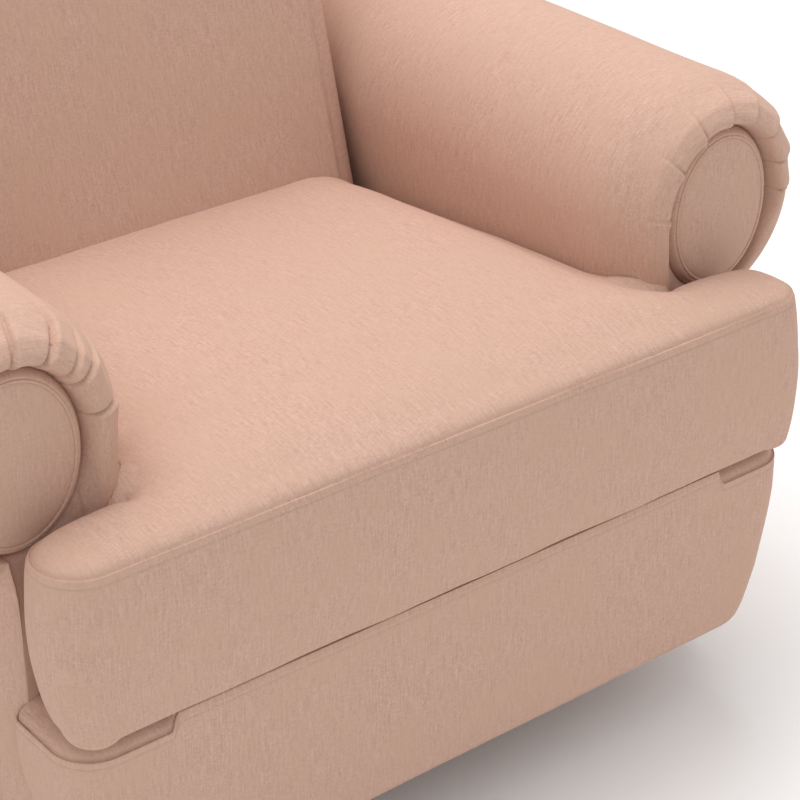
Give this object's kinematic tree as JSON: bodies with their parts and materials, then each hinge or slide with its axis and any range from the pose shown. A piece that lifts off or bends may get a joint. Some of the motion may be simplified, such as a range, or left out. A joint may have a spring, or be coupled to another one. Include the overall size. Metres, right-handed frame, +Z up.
{
  "type": "glider nursery chair",
  "caption": "Upholstered rolled-arm armchair with a T-shaped seat cushion on a base that swivels and glides.",
  "frame": {"origin": "on the floor under the middle of the chair's overall width and depth", "axes": "+Z up, -Y towards the front of the chair, +X towards the sitter's left, the viewer's right from the front"},
  "size_m": [0.944, 0.836, 0.955],
  "materials": {
    "upholstery_fabric": "woven blush chenille",
    "foam": "open cell foam",
    "deck_cloth": "plain deck cloth over felt",
    "dust_cloth": "thin black dust cloth",
    "timber": "planed softwood and plywood",
    "spring_steel": "drawn wire",
    "black_steel": "black powder coat",
    "zinc_steel": "bright zinc",
    "nylon": "natural nylon",
    "glide_plastic": "black plastic"
  },
  "bodies": {
    "base": {"floor_glides": "glide_plastic", "base_ring": "black_steel", "base_spider": "black_steel", "swivel_lower_race": "black_steel", "swivel_balls": "zinc_steel", "king_bolt": "zinc_steel", "king_nut": "zinc_steel"},
    "swivel": {"swivel_upper_plate": "black_steel", "swivel_cross_members": "black_steel", "swivel_plate_bolts": "zinc_steel", "lower_rail_right": "black_steel", "lower_rail_left": "black_steel", "hanger_brackets_right": "black_steel", "hanger_brackets_left": "black_steel", "hanger_pins": "zinc_steel"},
    "front_links": {"front_link_right": "black_steel", "front_link_left": "black_steel", "front_link_bushes": "nylon"},
    "rear_links": {"rear_link_right": "black_steel", "rear_link_left": "black_steel", "rear_link_bushes": "nylon"},
    "seat_cushion": {"seat_cushion_cover": "upholstery_fabric", "seat_cushion_core": "foam"},
    "seat": {"arm_cover_right": "upholstery_fabric", "arm_cover_left": "upholstery_fabric", "arm_disc_right": "upholstery_fabric", "arm_disc_left": "upholstery_fabric", "front_panel_cover": "upholstery_fabric", "back_cover": "upholstery_fabric", "outer_back_cover": "upholstery_fabric", "rear_panel_cover": "upholstery_fabric", "arm_padding_right": "foam", "arm_padding_left": "foam", "front_panel_padding": "foam", "back_core": "foam", "deck_pad": "deck_cloth", "arm_dust_covers": "dust_cloth", "arm_front_board_right": "timber", "arm_front_board_left": "timber", "arm_rear_boards": "timber", "arm_rails": "timber", "front_rail_frame": "timber", "back_post_right": "timber", "back_post_left": "timber", "back_top_rail": "timber", "back_lumbar_rail": "timber", "side_rail_right": "timber", "side_rail_left": "timber", "front_seat_rail": "timber", "rear_seat_rail": "timber", "rear_spring_rail": "timber", "corner_blocks": "timber", "rear_panel_board": "timber", "seat_springs": "spring_steel", "back_springs": "spring_steel", "carrier_rail_right": "black_steel", "carrier_rail_left": "black_steel", "carrier_cross_tubes": "black_steel", "carrier_pins": "zinc_steel", "carrier_bolts": "zinc_steel"}
  },
  "joints": [
    {"name": "swivel_turn", "type": "hinge", "parent": "base", "child": "swivel", "pos_m": [0, 0, 0.05], "axis": [0, 0, 1], "continuous": true},
    {"name": "glide", "type": "hinge", "parent": "swivel", "child": "front_links", "pos_m": [0, -0.13, 0.205], "axis": [1, 0, 0], "range_deg": [-27, 27]},
    {"name": "rear_link_swing", "type": "hinge", "parent": "swivel", "child": "rear_links", "pos_m": [0, 0.13, 0.205], "axis": [1, 0, 0], "range_deg": [-27, 27]},
    {"name": "seat_level", "type": "hinge", "parent": "front_links", "child": "seat", "pos_m": [0, -0.13, 0.085], "axis": [1, 0, 0], "range_deg": [-27, 27]},
    {"name": "cushion_pull", "type": "slide", "parent": "seat", "child": "seat_cushion", "axis": [0, -1, 0], "range_m": [0, 0.35]}
  ],
  "couplings": [
    {"joint": "rear_link_swing", "follows": "glide", "ratio": 1},
    {"joint": "seat_level", "follows": "glide", "ratio": -1}
  ]
}
